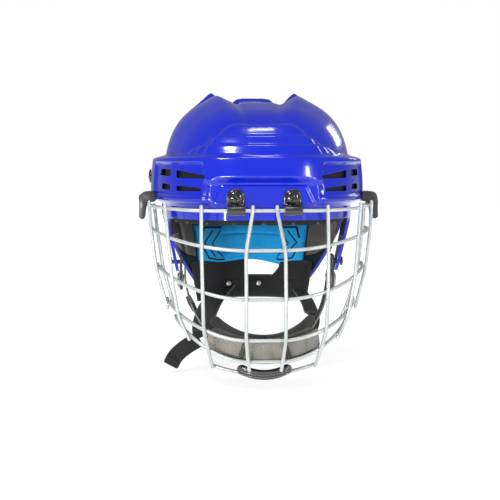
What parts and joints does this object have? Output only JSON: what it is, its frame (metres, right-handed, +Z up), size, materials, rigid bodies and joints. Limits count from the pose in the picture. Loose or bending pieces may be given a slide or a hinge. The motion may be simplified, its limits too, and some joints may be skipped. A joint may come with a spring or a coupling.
{
  "type": "ice hockey helmet with cage",
  "caption": "Ice hockey helmet: two-piece vented shell that slides to size, foam and comfort pads, chin strap, and a wire face cage with chin cup that flips up on its forehead clips.",
  "frame": {"origin": "centre of the head space, level with the brow edge of the front shell", "axes": "-Y is the way the face looks, +X is to the right of someone facing the cage, +Z is up through the crown"},
  "size_m": [0.2272, 0.2708, 0.2702],
  "materials": {
    "shell": "glossy",
    "wire": "satin coat",
    "foam": "matte closed-cell foam",
    "blue_pad": "soft brushed",
    "black_pad": "soft",
    "mesh_pad": "open mesh",
    "gloss_black": "glossy",
    "matte_black": "satin",
    "webbing": "woven",
    "screw": "black coat",
    "steel": "satin"
  },
  "bodies": {
    "helmet": {"front_shell": "shell", "brow_foam": "foam", "temple_foam_l": "foam", "temple_foam_r": "foam", "crown_foam_front": "foam", "front_clip_l": "gloss_black", "front_clip_r": "gloss_black", "front_clip_screw_l": "screw", "front_clip_screw_r": "screw", "front_clip_nut_l": "steel", "front_clip_nut_r": "steel", "side_clip_l": "matte_black", "side_clip_r": "matte_black", "side_clip_screw_l": "screw", "side_clip_screw_r": "screw", "side_clip_nut_l": "steel", "side_clip_nut_r": "steel", "size_screw_l": "screw", "size_screw_r": "screw", "size_nut_l": "steel", "size_nut_r": "steel", "ear_loop_l": "matte_black", "ear_loop_r": "matte_black", "ear_loop_rivet_l": "matte_black", "ear_loop_rivet_r": "matte_black"},
    "rear": {"rear_shell": "shell", "crown_foam_rear": "foam", "rear_foam_l": "foam", "rear_foam_r": "foam", "occipital_pad": "blue_pad", "nape_pad": "black_pad"},
    "cage": {"wire_top": "wire", "wire_eye": "wire", "wire_nose": "wire", "wire_mouth": "wire", "wire_chin": "wire", "wire_rim": "wire", "wire_centre_l": "wire", "wire_centre_r": "wire", "wire_inner_l": "wire", "wire_inner_r": "wire", "wire_outer_l": "wire", "wire_outer_r": "wire", "wire_side_l": "wire", "wire_side_r": "wire", "wire_edge_l": "wire", "wire_edge_r": "wire", "chin_cup": "matte_black", "chin_pad": "mesh_pad", "chin_lip_pad": "mesh_pad", "chin_bumper": "gloss_black", "chin_cup_tab_l": "matte_black", "chin_cup_tab_r": "matte_black"},
    "strap": {"chin_strap": "webbing", "strap_tail": "webbing", "strap_slider": "matte_black", "strap_snap_l": "steel", "strap_snap_r": "steel"}
  },
  "joints": [
    {"name": "size_slide", "type": "slide", "parent": "helmet", "child": "rear", "axis": [0, 1, 0], "range_m": [0, 0.008]},
    {"name": "cage_flip", "type": "hinge", "parent": "helmet", "child": "cage", "pos_m": [0, -0.12, 0.009], "axis": [-1, 0, 0], "range_deg": [0, 100]},
    {"name": "strap_swing", "type": "hinge", "parent": "helmet", "child": "strap", "pos_m": [0, -0.011, -0.064], "axis": [1, 0, 0], "range_deg": [0, 35]}
  ]
}
